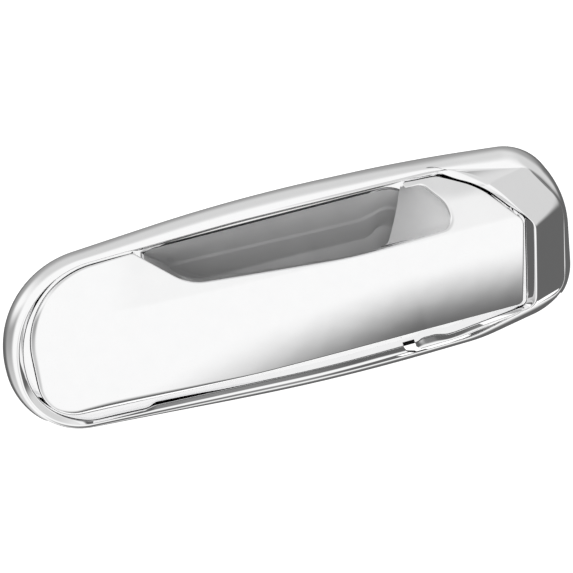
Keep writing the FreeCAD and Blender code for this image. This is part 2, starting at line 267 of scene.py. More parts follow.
# Guides of the base cover, clockwise from the top left corner: x, y, radius, height
outline = [
    (left, top - 7.0, 44, 0),
    (left + 107, top + 1.0, 700, 0),
    (right - 58.5, top - 1.3, 700, 0),
    (right - 10.6, top - 6.2, 21, 0),
    (right + 1.1, top - 30.9, 40, 0),
    (right - 6.6, bottom + 8.9, 24, 0),
    (right - 44.5, bottom + 1.5, 90, 0),
    (right - 108.5, bottom - 1.5, 900, 0),
    (left, bottom + 8.3, 33, 0),
]


def follow(moves):
    """A guide whose corners are the outline's, moved by (x, y), with its own radii and heights."""
    return [(o[0] + m[0], o[1] + m[1], m[2], m[3]) for o, m in zip(outline, moves)]


shoulder_guide = follow([
    (4.8, -1.6, 41, CROWN_HEIGHT),
    (0, -6.3, 600, CROWN_HEIGHT),
    (10, -4.7, 60, CROWN_HEIGHT + 1.6),
    (-1.7, -8.2, 7, BOSS_SHOULDER),
    (-2.4, -3.0, 18, 0.6 * BOSS_SHOULDER),
    (-2.5, 5.8, 10, 0.55 * BOSS_SHOULDER),
    (-6.0, 4.2, 50, CROWN_HEIGHT),
    (0, 5.6, 700, CROWN_HEIGHT),
    (4.8, 1.0, 25, CROWN_HEIGHT),
])
ridge_guide = follow([
    (6.0, -2.3, 40, RIDGE),
    (0, -7.7, 600, RIDGE),
    (16.5, -5.3, 20, lerp(RIDGE, BOSS_HEIGHT, 0.2)),
    (-18.2, -8.3, 60, lerp(RIDGE, BOSS_HEIGHT, 0.7)),
    (-15.7, -4.9, 5, BOSS_HEIGHT),
    (-15.4, 5.8, 6, BOSS_HEIGHT - 2.0),
    (-12.0, 5.8, 60, lerp(RIDGE, BOSS_HEIGHT, 0.1)),
    (0, 7.2, 600, RIDGE),
    (5.7, 1.8, 24, RIDGE),
])
lip_guide = follow([
    (8.3, -3.6, 38, LIP),
    (0, -8.9, 600, LIP),
    (9.2, -6.3, 14, lerp(LIP, BOSS_HEIGHT, 0.2)),
    (-22.0, -8.7, 30, lerp(LIP, BOSS_HEIGHT, 0.66)),
    (-19.4, -1.4, 4, BOSS_HEIGHT - 2.6),
    (-19.4, 6.6, 4, BOSS_HEIGHT - 5.5),
    (-13.0, 8.0, 50, lerp(LIP, BOSS_HEIGHT, 0.05)),
    (0, 9.5, 600, LIP),
    (7.8, 3.4, 24, LIP),
])
bucket_edge = at_height([
    (left + 59, top - 10.6, 12),
    (right - 80, top - 10.1, 300),
    (right - 60, top - 10.8, 12),
    (right - 60, bottom + 23, 12),
    (left + 59, bottom + 23, 14),
], TRAY)
ledge_outer = at_height([
    (left + 70, top - 21, 8),
    (right - 82, top - 22.6, 40),
    (right - 63, top - 16.2, 11),
    (right - 63.5, bottom + 28, 9),
    (left + 70, bottom + 28, 8),
], -LEDGE_DEPTH)
bucket_floor = at_height([
    (left + 80.6, top - 31.8, 8),
    (right - 80, top - 31.8, 8),
    (right - 66.5, top - 20.5, 8),
    (right - 66.5, bottom + 31.5, 8),
    (left + 80.6, bottom + 31.5, 8),
], -BUCKET_DEPTH)

# Guides of the lever cover, clockwise from the top left: x, y, radius, edge radius, scoop share
rim_guide = [
    (left + 13.4, top - 10.0, 34, 4.5, 0),
    (left + 62.4, top - 8.8, 2.5, 0.9, 0),
    (left + 81.7, top - 25.0, 22, 1.0, 0),
    (right - 89, top - 29.4, 200, 1.0, 0),
    (right - 47, top - 27.8, 5, 2.0, 1),
    (right - 47.8, top - 18.5, 14, 2.6, 1),
    (right - 55.2, top - 10.0, 5, 2.0, 1),
    (right - 63, top - 9.6, 0.8, 0.8, 0),
    (right - 63, top - 7.5, 0.6, 0.7, 0),
    (right - 49.8, top - 7.9, 12, 0.8, 0),
    (right - 33.8, top - 15.4, 30, 0.7, 0),
    (right - 19.2, top - 31.6, 4, 0.9, 0),
    (right - 27.4, bottom + 17.0, 2.5, 0.9, 0),
    (right - 140, bottom + 15.2, 900, 1.3, 0),
    (left + 39.6, bottom + 15.2, 900, 5.0, 0),
    (left + 10.2, bottom + 13.8, 22, 5.0, 0),
]
foot_guide = [
    (left + 10.8, top - 11.6, 35, 0, 0),
    (left + 63, top - 9.6, 3, 0, 0),
    (left + 83.1, top - 26.4, 20, 0, 0),
    (right - 99, top - 32.6, 100, 0, 0),
    (right - 75, top - 34.4, 4, 0, 0),
    (right - 69, top - 23.0, 100, 0, 0),
    (right - 65, top - 13.2, 30, 0, 0),
    (right - 63.4, top - 10.0, 0.8, 0, 0),
    (right - 63.4, top - 8.0, 0.6, 0, 0),
    (right - 49.8, top - 8.3, 12, 0, 0),
    (right - 33.9, top - 15.6, 30, 0, 0),
    (right - 19.9, top - 32.6, 4, 0, 0),
    (right - 28.0, bottom + 17.6, 4, 0, 0),
    (right - 140, bottom + 10.8, 900, 0, 0),
    (left + 39.6, bottom + 12.0, 150, 0, 0),
    (left + 10.8, bottom + 14.0, 21, 0, 0),
]
# The hollow leaves out the scoop's own corners, and keeps a straight wall behind it
scoop_corners = (5, 6, 7, 8)
hollow_rim_corner = (right - 45.0, top - 9.6, 4, 0, 0)
hollow_foot_corner = (right - 59.5, top - 8.6, 4, 0, 0)


def without_scoop(corners, corner):
    """The guide with one plain corner in place of the scoop's own."""
    kept = [c for i, c in enumerate(corners) if i not in scoop_corners]
    kept[scoop_corners[0]] = corner
    return kept


def hub_crease(x):
    """Height up the door of the soft crease across the hub's upper facet."""
    return top - 15.5 - 1.5 * smooth(x, right - 54, right - 42) - 14 * smooth(x, right - 36, right - 16)


def paddle_height(x, y):
    """Height of the lever cover's front: low at its left end, with a shoulder and a sloped top."""
    run = np.clip((x - (left + 11)) / (LENGTH * 0.67), 0, 1)
    crest = lerp(PADDLE_LEFT_HEIGHT, PADDLE_HEIGHT, 1 - (1 - run) ** 2.2)
    below = np.clip(SHOULDER_Y - y, 0, None) / (SHOULDER_Y - bottom - 15)
    slope = 0.06 + 0.37 * smooth(x, left + 8, left + 62) + 0.10 * smooth(x, left + 62, right - 60)
    upper = slope * eased_ramp(y - SHOULDER_Y + 1, 4)
    hub = 0.32 * smooth(x, right - 90, right - 65) * eased_ramp(y - hub_crease(x) + 1.6, 4)
    return crest - lerp(0.3, 1.0, run) * PADDLE_LOWER_DROP * below**2 - upper - hub


def quarter_crown(edge, shoulder, steps):
    """Rows of a quarter-ellipse from an upright edge to a level shoulder."""
    rows = []
    for step in range(1, steps):
        angle = math.pi / 2 * step / steps
        plan = lerp(edge[:, :2], shoulder[:, :2], 1 - math.cos(angle))
        height = lerp(edge[:, 2], shoulder[:, 2], math.sin(angle))
        rows.append(np.column_stack([plan, height]))
    return rows


def band(a, b, shares=(0.06, 0.5, 0.94)):
    """Rows between two rows, close to each and at the middle."""
    return [lerp(a, b, share) for share in shares]


def rounded_section(rows, radii, steps=6):
    """Closed rows with each inner one turned into a rounding of its radius, and bands between."""
    groups = []
    for j in range(1, len(rows) - 1):
        before, here, after = rows[j - 1], rows[j], rows[j + 1]
        back, ahead = before - here, after - here
        back_length = np.linalg.norm(back, axis=1) + 1e-9
        ahead_length = np.linalg.norm(ahead, axis=1) + 1e-9
        reach = np.minimum(radii[j - 1], np.minimum(0.47 * back_length, 0.47 * ahead_length))
        a = here + back * (reach / back_length)[:, None]
        b = here + ahead * (reach / ahead_length)[:, None]
        rounding = []
        for step in range(steps + 1):
            t = step / steps
            rounding.append((1 - t) ** 2 * a + 2 * t * (1 - t) * here + t * t * b)
        groups.append(rounding)
    out = [rows[0]]
    for rounding in groups:
        out += band(out[-1], rounding[0]) + rounding
    return out + band(out[-1], rows[-1]) + [rows[-1]]


class Skin:
    """Collects points and faces, and turns them into a mesh object."""

    def __init__(self):
        self.points = []
        self.faces = []
        self.slots = []
        self.count = 0

    def add_row(self, row):
        """Adds points and returns the number of the first one."""
        start = self.count
        self.points.append(np.asarray(row, float)[:, :3])
        self.count += len(row)
        return start

    def rows(self, rows, slot=CHROME, flip=False, cut=None, slots=None):
        """Closed rows joined by quads; the start of each row is returned."""
        starts = [self.add_row(row) for row in rows]
        self.between(starts, len(rows[0]), slot, flip, cut, slots)
        return starts

    def between(self, starts, count, slot=CHROME, flip=False, cut=None, slots=None):
        """Quads between closed rows, apart from those that a cut of (first, last) stations opens."""
        ring = np.arange(count)
        after = (ring + 1) % count
        points = np.concatenate(self.points)
        for j, (a, b) in enumerate(zip(starts, starts[1:])):
            quads = np.column_stack([a + ring, b + ring, b + after, a + after])
            if cut:
                middle = points[quads].mean(axis=1)
                inside = (ring >= cut[0]) & (ring < cut[1]) & in_notch(middle)
                quads = quads[~inside]
            if flip:
                quads = quads[:, ::-1]
            self.faces += quads.tolist()
            self.slots += [slots[j] if slots else slot] * len(quads)

    def fill(self, loops, height, grid=None, slot=CHROME, flip=False):
        """Triangles inside the first loop and outside the others, with heights from a function."""
        points = np.concatenate(self.points)
        polygons = [points[start:start + count, :2] for start, count in loops]
        plan = np.concatenate(polygons)
        owners = np.concatenate([np.arange(start, start + count) for start, count in loops])
        edges = []
        offset = 0
        for start, count in loops:
            edges += [(offset + i, offset + (i + 1) % count) for i in range(count)]
            offset += count
        inner = []
        if grid:
            low, high = plan.min(0), plan.max(0)
            xs = np.arange(low[0], high[0], grid)
            ys = np.arange(low[1], high[1], grid * 0.866)
            gx, gy = np.meshgrid(xs, ys)
            gx = gx + (np.arange(len(ys)) % 2)[:, None] * grid / 2
            spots = np.column_stack([gx.ravel(), gy.ravel()])
            keep = within(spots, polygons[0])
            for hole in polygons[1:]:
                keep &= ~within(spots, hole)
            spots = spots[keep]
            near = np.array([np.min(np.sum((plan - s) ** 2, axis=1)) for s in spots])
            inner = spots[near > (0.55 * grid) ** 2]
        start = self.count
        if len(inner):
            lifted = np.column_stack([inner, height(inner[:, 0], inner[:, 1])])
            self.add_row(lifted)
            owners = np.concatenate([owners, np.arange(start, start + len(inner))])
            plan = np.vstack([plan, inner])
        verts, out_edges, faces, orig, orig_e, orig_f = delaunay_2d_cdt(
            [Vector(p) for p in plan], edges, [], 0, 1e-7)
        numbers = [int(owners[known[0]]) if known else None for known in orig]
        fresh = [i for i, number in enumerate(numbers) if number is None]
        if fresh:
            spots = np.array([verts[i][:] for i in fresh])
            added = self.add_row(np.column_stack([spots, height(spots[:, 0], spots[:, 1])]))
            for step, i in enumerate(fresh):
                numbers[i] = added + step
        centres = np.array([np.mean([verts[i][:] for i in f], axis=0) for f in faces])
        keep = within(centres, polygons[0])
        for hole in polygons[1:]:
            keep &= ~within(centres, hole)
        for face, kept in zip(faces, keep):
            if kept:
                corners = [numbers[i] for i in face]
                self.faces.append(corners if flip else corners[::-1])
                self.slots.append(slot)

    def stitch(self, outer, outer_count, inner, inner_count, slot=CHROME):
        """Triangles between two closed rows with different numbers of points."""
        points = np.concatenate(self.points)[:, :2]
        i = j = 0
        first = np.argmin(np.sum((points[inner:inner + inner_count] - points[outer]) ** 2, axis=1))
        while i < outer_count or j < inner_count:
            a, b = outer + i % outer_count, inner + (first + j) % inner_count
            next_a = outer + (i + 1) % outer_count
            next_b = inner + (first + j + 1) % inner_count
            step_outer = np.sum((points[next_a] - points[b]) ** 2)
            step_inner = np.sum((points[next_b] - points[a]) ** 2)
            if j >= inner_count or (i < outer_count and step_outer <= step_inner):
                self.faces.append([a, next_a, b])
                i += 1
            else:
                self.faces.append([a, next_b, b])
                j += 1
            self.slots.append(slot)

    def mesh(self, name):
        """The mesh object, with the turns that are sharper than SHARP_ANGLE kept sharp."""
        points = stand_up(np.concatenate(self.points))
        data = bpy.data.meshes.new(name)
        data.from_pydata(points.tolist(), [], self.faces)
        data.polygons.foreach_set("material_index", self.slots)
        data.polygons.foreach_set("use_smooth", [True] * len(self.faces))
        data.validate()
        data.set_sharp_from_angle(angle=SHARP_ANGLE)
        data.update()
        piece = bpy.data.objects.new(name, data)
        bpy.context.scene.collection.objects.link(piece)
        return piece


def within(spots, polygon):
    """Which points lie inside a closed polygon."""
    x, y = spots[:, 0], spots[:, 1]
    inside = np.zeros(len(spots), bool)
    ax, ay = polygon[:, 0], polygon[:, 1]
    bx, by = np.roll(ax, -1), np.roll(ay, -1)
    for i in range(len(polygon)):
        crosses = (ay[i] > y) != (by[i] > y)
        if crosses.any():
            at = ax[i] + (y[crosses] - ay[i]) / (by[i] - ay[i]) * (bx[i] - ax[i])
            inside[crosses] ^= x[crosses] < at
    return inside


def in_notch(points):
    """Points of the lower lip at the heights that the drain notch opens."""
    return (points[:, 1] > NOTCH_LOW) & (points[:, 1] < NOTCH_LOW + 6.0) & (points[:, 2] > 3.0)


def stand_up(points):
    """From the lying frame in millimetres to the row frame in metres."""
    return np.column_stack([points[:, 0], -points[:, 2], points[:, 1]]) * MM


def stepped(lip):
    """The lip with its small outward steps beside the lever's end and over the hub."""
    x, y = lip[:, 0], lip[:, 1]
    upper = (1 - smooth(x, left + 60.5, left + 65.5)) * smooth(x, left + 12, left + 38)
    upper += smooth(x, right - 68, right - 63) * (1 - smooth(x, right - 52, right - 40))
    lower = (1 - smooth(x, left + 51, left + 57)) * smooth(x, left + 19, left + 33)
    edge = NOTCH_X + NOTCH_WIDTH / 2
    swelling = SWELLING * smooth(x, edge + 0.4, edge + 4) * (1 - smooth(x, edge + 8, edge + 15))
    shift = np.where(y > 0, LIP_STEP * upper, swelling - 0.5 * LIP_STEP * lower)
    return np.column_stack([x, y + shift, lip[:, 2]])


def level_at(z):
    """A level surface, as a function of x and y."""
    return lambda x, y: np.full(len(x), z)


def under_paddle(depth):
    """The paddle's front moved back by depth, as a function of x and y."""
    return lambda x, y: paddle_height(x, y) - depth


def over_opening(x):
    """1 over the finger opening and 0 beside it."""
    opened = smooth(x, RETURN_START, RETURN_START + RETURN_EASE)
    return opened * (1 - smooth(x, RETURN_END - RETURN_EASE, RETURN_END))


def base_cover():
    """The frame, bucket and boss: one closed shell with a notch in its lower lip."""
    counts = station_counts(outline)
    pocket = station_counts(bucket_edge)

    def ring(corners):
        return stations(corners, counts)[:, :3]

    def hollow(corners):
        return stations(corners, pocket)[:, :3]

    foot = ring(at_height(outline, 0))
    edge = ring(at_height(outline, EDGE_HEIGHT))
    shoulder = ring(shoulder_guide)
    ridge = ring(ridge_guide)
    lip = stepped(ring(lip_guide))
    wall_foot = stepped(ring(inset(at_height(lip_guide, TRAY), WALL_DRAFT)))
    crown = quarter_crown(edge, shoulder, CROWN_STEPS)
    roundings = [SHOULDER_ROUND, RIDGE_ROUND, LIP_ROUND]
    section = rounded_section([crown[-1], shoulder, ridge, lip, wall_foot], roundings)
    skin = Skin()
    front = [foot, lerp(foot, edge, 0.5), edge] + crown[:-1] + section
    low = np.nonzero(lip[:, 1] < 0)[0]
    notch_sides = (NOTCH_X + NOTCH_WIDTH / 2, NOTCH_X - NOTCH_WIDTH / 2)
    sides = [low[np.argmin(abs(lip[low, 0] - x))] for x in notch_sides]
    notch = (min(sides), max(sides))
    front_starts = skin.rows(front, cut=notch)
    count = len(foot)

    mouth = hollow(bucket_edge)
    ledge_out = hollow(ledge_outer)
    ledge_in = hollow(lowered(inset(ledge_outer, LEDGE_WIDTH), 0.3))
    floor = hollow(bucket_floor)
    rim = hollow(inset(bucket_edge, -MOUTH_ROUND))
    centre = floor[:, :2].mean(0)
    middle = np.column_stack([centre + 0.85 * (floor[:, :2] - centre), floor[:, 2]])
    roundings = [MOUTH_ROUND, LEDGE_ROUND, LEDGE_ROUND, FLOOR_ROUND]
    bowl = rounded_section([rim, mouth, ledge_out, ledge_in, floor, middle], roundings)
    heights = [row[:, 2].max() for row in bowl]
    slots = [SATIN if min(a, b) < TRAY - WALL else CHROME for a, b in zip(heights, heights[1:])]
    bowl_starts = skin.rows(bowl, slots=slots)
    pocket_count = len(mouth)
    flat = level_at(TRAY)
    skin.fill([(front_starts[-1], count), (bowl_starts[0], pocket_count)], flat)
    skin.fill([(bowl_starts[-1], pocket_count)], flat, slot=SATIN)

    inner_foot = ring(inset(at_height(outline, 0), WALL))
    inner_shoulder = ring(lowered(inset(shoulder_guide, 0.25 * WALL), WALL))
    inner_lip = stepped(ring(inset(lip_guide, -WALL)))
    inner_ridge = np.column_stack([inner_lip[:, :2], ridge[:, 2] - 1.1 * WALL])
    wall_back = stepped(ring(inset(at_height(lip_guide, TRAY - WALL), WALL_DRAFT - WALL)))
    back = [inner_foot] + quarter_crown(inner_foot, inner_shoulder, BACK_CROWN_STEPS)
    back += rounded_section([inner_shoulder, inner_ridge, wall_back], [BACK_ROUND], 3)
    back_starts = [front_starts[0]] + [skin.add_row(row) for row in back]
    skin.between(back_starts, count, DULL, True, notch)
    for station in notch:
        outer = np.array([row[station] for row in front if in_notch(row[station:station + 1])[0]])
        inner = [row[station] for row in back]
        inner = np.array([spot for spot in inner if spot[2] > 2.0 and spot[1] > NOTCH_LOW])
        share = np.linspace(0, len(inner) - 1, len(outer))
        known = np.arange(len(inner))
        inner = np.column_stack([np.interp(share, known, inner[:, k]) for k in range(3)])
        first = skin.add_row(outer)
        second = skin.add_row(inner)
        for k in range(len(outer) - 1):
            skin.faces.append([first + k, first + k + 1, second + k + 1, second + k])
            skin.slots.append(DULL)
    pocket_backs = [
        hollow(at_height(inset(bucket_edge, -WALL), TRAY - WALL)),
        hollow(lowered(inset(ledge_outer, -0.6 * WALL), 0.8 * WALL)),
        hollow(lowered(inset(bucket_floor, -0.6 * WALL), WALL)),
    ]
    cup = rounded_section(pocket_backs, [CUP_ROUND], 3)
    cup_starts = skin.rows(cup, DULL, True)
    skin.fill([(back_starts[-1], count), (cup_starts[0], pocket_count)], flat, slot=DULL, flip=True)
    skin.fill([(cup_starts[-1], pocket_count)], flat, slot=DULL, flip=True)
    return skin.mesh("base_cover_shell")


def lever_cover():
    """The paddle, hub and scoop: one shell, hollow at the back."""
    counts = station_counts(rim_guide)
    rim = stations(rim_guide, counts, LEVER_EASING)
    foot = stations(foot_guide, counts, LEVER_EASING)
    edge_radius, scoop = rim[:, 2], np.clip(rim[:, 3], 0, 1)
    height = paddle_height(rim[:, 0], rim[:, 1])
    front = np.column_stack([rim[:, :2], height])
    base = np.column_stack([foot[:, :2], np.full(len(foot), TRAY)])

    opening = np.zeros(len(rim))
    start, end = sum(counts[:1]), sum(counts[:4])
    opening[start:end] = over_opening(foot[start:end, 0])
    depth = height - RETURN_DEPTH - TRAY
    bottom_share = lerp(1.0, RETURN_DEPTH / (RETURN_DEPTH + np.maximum(depth, 1)), opening)
    lowest = front + (base - front) * bottom_share[:, None]

    plan_out = base[:, :2] - front[:, :2]
    plan_out /= np.linalg.norm(plan_out, axis=1)[:, None] + 1e-9
    straight = lerp(front, lowest, 0.8)
    under_rim = np.column_stack([front[:, :2] + plan_out * SCOOP_UNDERCUT, front[:, 2] - SCOOP_WALL])
    shoulder = lerp(straight, under_rim, scoop[:, None])

    hollow_rim = without_scoop(rim_guide, hollow_rim_corner)
    hollow_foot = without_scoop(foot_guide, hollow_foot_corner)
    hollow_counts = station_counts(hollow_rim, HOLLOW_SPACING)
    inner = stations(inset(hollow_rim, WALL), hollow_counts, LEVER_EASING)
    ceiling = np.column_stack([inner[:, :2], paddle_height(inner[:, 0], inner[:, 1]) - WALL])
    inner_foot = stations(inset(hollow_foot, WALL), hollow_counts, LEVER_EASING)
    inner_base = np.column_stack([inner_foot[:, :2], np.full(len(inner), TRAY)])
    reach_up = np.zeros(len(inner))
    start, end = sum(hollow_counts[:1]), sum(hollow_counts[:4])
    reach_up[start:end] = over_opening(inner_foot[start:end, 0])
    tall = ceiling[:, 2] + WALL - TRAY
    share = lerp(0.0, 1 - RETURN_DEPTH / tall, reach_up)
    inner_base = lerp(inner_base, ceiling, share[:, None])

    inward = stations(inset(rim_guide, 7.0), counts, LEVER_EASING)
    toward = inward[:, :2] - front[:, :2]
    toward /= np.linalg.norm(toward, axis=1)[:, None] + 1e-9
    reach = edge_radius * 1.25
    inside = front[:, :2] + toward * reach[:, None]
    inside = np.column_stack([inside, paddle_height(inside[:, 0], inside[:, 1])])

    skin = Skin()
    roundings = [edge_radius, lerp(0.5, SCOOP_ROUND, scoop)]
    section = rounded_section([inside, front, shoulder, lowest], roundings, 8)
    starts = skin.rows(section[2:], flip=True)
    count = len(rim)
    # Below the rim's rounding, the scoop's own wall is satin
    for row in range(9, len(starts) - 1):
        for station in np.nonzero(scoop > 0.5)[0]:
            skin.slots[row * count + station] = SATIN
    skin.fill([(starts[0], count)], paddle_height, GRID_SPACING, flip=True)
    inner_count = len(inner)
    inner_starts = skin.rows([inner_base, lerp(inner_base, ceiling, 0.5), ceiling], DULL)
    skin.stitch(starts[-1], count, inner_starts[0], inner_count, DULL)
    skin.fill([(inner_starts[-1], inner_count)], under_paddle(WALL), HOLLOW_GRID, DULL)
    return skin.mesh("lever_cover_shell")


def foam_pad(name, x, y, width, height, front, back):
    """Foam pad with soft edges between two surfaces, given as functions of x and y."""
    corners = [(x - width / 2, y + height / 2, 1.5), (x + width / 2, y + height / 2, 1.5)]
    corners += [(x + width / 2, y - height / 2, 1.5), (x - width / 2, y - height / 2, 1.5)]
    counts = station_counts(corners, 0.5)
    skin = Skin()
    rows = []
    for step in range(9):
        angle = math.pi * step / 8
        shrink = 0.35 * (1 - math.sin(angle))
        ring = stations(inset(corners, shrink + 0.05), counts)
        rise = 0.5 + 0.5 * math.cos(angle)
        plan = ring[:, :2]
        low, high = back(plan[:, 0], plan[:, 1]), front(plan[:, 0], plan[:, 1])
        rows.append(np.column_stack([plan, lerp(low, high, rise)]))
    starts = skin.rows(rows)
    skin.fill([(starts[0], sum(counts))], front, 1.0, flip=True)
    skin.fill([(starts[-1], sum(counts))], back, 1.0)
    return skin.mesh(name)


# The camera: the photograph's frame is 573 pixels square
PHOTO_SIZE = 573
MM_PER_PIXEL = 0.41
ELEVATION = math.radians(14.0)
ROLL = math.radians(14.2)
DISTANCE = 3.0
ORIGIN_PIXEL = (286.6, 290.2)


def make_camera():
    """The camera at the photograph's elevation and roll."""
    forward = Vector((0, math.cos(ELEVATION), -math.sin(ELEVATION)))
    level = Vector((1, 0, 0))
    rise = Vector((0, math.sin(ELEVATION), math.cos(ELEVATION)))
    across = level * math.cos(ROLL) - rise * math.sin(ROLL)
    up = level * math.sin(ROLL) + rise * math.cos(ROLL)
    offset_across = (PHOTO_SIZE / 2 - ORIGIN_PIXEL[0]) * MM_PER_PIXEL * MM
    offset_up = (ORIGIN_PIXEL[1] - PHOTO_SIZE / 2) * MM_PER_PIXEL * MM
    target = across * offset_across + up * offset_up
    data = bpy.data.cameras.new("photo_camera")
    data.sensor_width = 36.0
    data.lens = data.sensor_width * DISTANCE / (PHOTO_SIZE * MM_PER_PIXEL * MM)
    data.clip_start = 0.01
    camera = bpy.data.objects.new("photo_camera", data)
    rotation = Matrix((across, up, -forward)).transposed()
    camera.matrix_world = Matrix.Translation(target - forward * DISTANCE) @ rotation.to_4x4()
    bpy.context.scene.collection.objects.link(camera)
    bpy.context.scene.camera = camera


def node_material(name):
    """A new material with its node tree and its shader."""
    material = bpy.data.materials.new(name)
    material.use_nodes = True
    tree = material.node_tree
    return material, tree, tree.nodes["Principled BSDF"]


class Nodes:
    """Short ways to add and join shader nodes in one tree."""

    def __init__(self, tree):
        self.tree = tree

    def new(self, kind, **settings):
        node = self.tree.nodes.new(kind)
        for name, value in settings.items():
            setattr(node, name, value)
        return node

    def join(self, value, socket):
        """Links a socket to an output, or sets it to a number."""
        if hasattr(value, "is_output"):
            self.tree.links.new(value, socket)
        else:
            socket.default_value = value

    def math(self, operation, a, b=0.0, c=0.0):
        node = self.new("ShaderNodeMath", operation=operation)
        for value, socket in zip((a, b, c), node.inputs):
            self.join(value, socket)
        return node.outputs[0]

    def step(self, value, low, high, start=0.0, end=1.0):
        """A smooth step from start to end while the value goes from low to high."""
        node = self.new("ShaderNodeMapRange", interpolation_type="SMOOTHSTEP")
        self.join(value, node.inputs["Value"])
        for name, number in (("From Min", low), ("From Max", high), ("To Min", start), ("To Max", end)):
            node.inputs[name].default_value = number
        return node.outputs["Result"]

    def mix(self, share, a, b):
        node = self.new("ShaderNodeMix", data_type="FLOAT")
        self.join(share, node.inputs["Factor"])
        self.join(a, node.inputs["A"])
        self.join(b, node.inputs["B"])
        return node.outputs["Result"]

    def ramp(self, value, stops):
        """A grey level that follows stops of (value from -1 to 1, shade on the screen)."""
        node = self.new("ShaderNodeValToRGB")
        self.join(self.math("MULTIPLY_ADD", value, 0.5, 0.5), node.inputs[0])
        elements = node.color_ramp.elements
        while len(elements) < len(stops):
            elements.new(0.5)
        node.color_ramp.interpolation = "EASE"
        for element, (position, shade) in zip(elements, stops):
            level = ((shade + 0.055) / 1.055) ** 2.4
            element.position = 0.5 + 0.5 * position
            element.color = (level, level, level, 1)
        return node.outputs["Color"]

    def noise(self, vector, scale, detail=3.0, roughness=0.5, squeeze=None):
        node = self.new("ShaderNodeTexNoise")
        node.inputs["Scale"].default_value = scale
        node.inputs["Detail"].default_value = detail
        node.inputs["Roughness"].default_value = roughness
        if squeeze:
            mapping = self.new("ShaderNodeMapping")
            mapping.inputs["Scale"].default_value = squeeze
            self.join(vector, mapping.inputs["Vector"])
            vector = mapping.outputs["Vector"]
        self.join(vector, node.inputs["Vector"])
        return node.outputs["Fac"]


def make_chrome():
    """Bright chrome plate with faint waves of the moulding, polish haze and a few fine scuffs."""
    material, tree, shader = node_material("chrome_plate")
    nodes = Nodes(tree)
    place = nodes.new("ShaderNodeTexCoord").outputs["Object"]
    waves = nodes.noise(place, 42.0, 2.0)
    haze = nodes.noise(place, 160.0, 4.0, 0.6)
    scuffs = nodes.noise(place, 900.0, 2.0, 0.6, (0.25, 1.0, 3.0))
    fine = nodes.step(scuffs, 0.66, 0.74)
    polish = nodes.step(haze, 0.35, 0.75, 0.018, 0.05)
    roughness = nodes.math("ADD", polish, nodes.math("MULTIPLY", fine, 0.06))
    nodes.join(roughness, shader.inputs["Roughness"])
    tint = nodes.new("ShaderNodeMix", data_type="RGBA")
    nodes.join(haze, tint.inputs["Factor"])
    tint.inputs["A"].default_value = (0.93, 0.93, 0.935, 1)
    tint.inputs["B"].default_value = (0.965, 0.965, 0.965, 1)
    nodes.join(tint.outputs["Result"], shader.inputs["Base Color"])
    shader.inputs["Metallic"].default_value = 1.0
    bump = nodes.new("ShaderNodeBump")
    bump.inputs["Strength"].default_value = 0.35
    bump.inputs["Distance"].default_value = 0.00035
    nodes.join(waves, bump.inputs["Height"])
    nodes.join(bump.outputs["Normal"], shader.inputs["Normal"])
    return material


def make_dull_back():
    """Thin, dull plating on the hidden side of the shells, with flow marks of the moulding."""
    material, tree, shader = node_material("dull_plated_back")
    nodes = Nodes(tree)
    place = nodes.new("ShaderNodeTexCoord").outputs["Object"]
    flow = nodes.noise(place, 60.0, 4.0, 0.6, (0.4, 1.0, 1.0))
    grain = nodes.noise(place, 1400.0, 2.0)
    tint = nodes.new("ShaderNodeMix", data_type="RGBA")
    nodes.join(flow, tint.inputs["Factor"])
    tint.inputs["A"].default_value = (0.16, 0.16, 0.165, 1)
    tint.inputs["B"].default_value = (0.24, 0.24, 0.245, 1)
    nodes.join(tint.outputs["Result"], shader.inputs["Base Color"])
    shader.inputs["Metallic"].default_value = 0.5
    nodes.join(nodes.step(flow, 0.3, 0.7, 0.3, 0.48), shader.inputs["Roughness"])
    bump = nodes.new("ShaderNodeBump")
    bump.inputs["Strength"].default_value = 0.2
    bump.inputs["Distance"].default_value = 0.0001
    nodes.join(grain, bump.inputs["Height"])
    nodes.join(bump.outputs["Normal"], shader.inputs["Normal"])
    return material


def make_satin():
    """Satin plating in the finger bucket and on the scoop's wall, a little uneven."""
    material, tree, shader = node_material("satin_plate")
    nodes = Nodes(tree)
    place = nodes.new("ShaderNodeTexCoord").outputs["Object"]
    cloud = nodes.noise(place, 90.0, 3.0)
    grain = nodes.noise(place, 2600.0, 2.0)
    tint = nodes.new("ShaderNodeMix", data_type="RGBA")
    nodes.join(cloud, tint.inputs["Factor"])
    tint.inputs["A"].default_value = (0.86, 0.86, 0.865, 1)
    tint.inputs["B"].default_value = (0.95, 0.95, 0.95, 1)
    nodes.join(tint.outputs["Result"], shader.inputs["Base Color"])
    shader.inputs["Metallic"].default_value = 0.25
    nodes.join(nodes.step(cloud, 0.3, 0.7, 0.42, 0.55), shader.inputs["Roughness"])
    bump = nodes.new("ShaderNodeBump")
    bump.inputs["Strength"].default_value = 0.15
    bump.inputs["Distance"].default_value = 0.00005
    nodes.join(grain, bump.inputs["Height"])
    nodes.join(bump.outputs["Normal"], shader.inputs["Normal"])
    return material


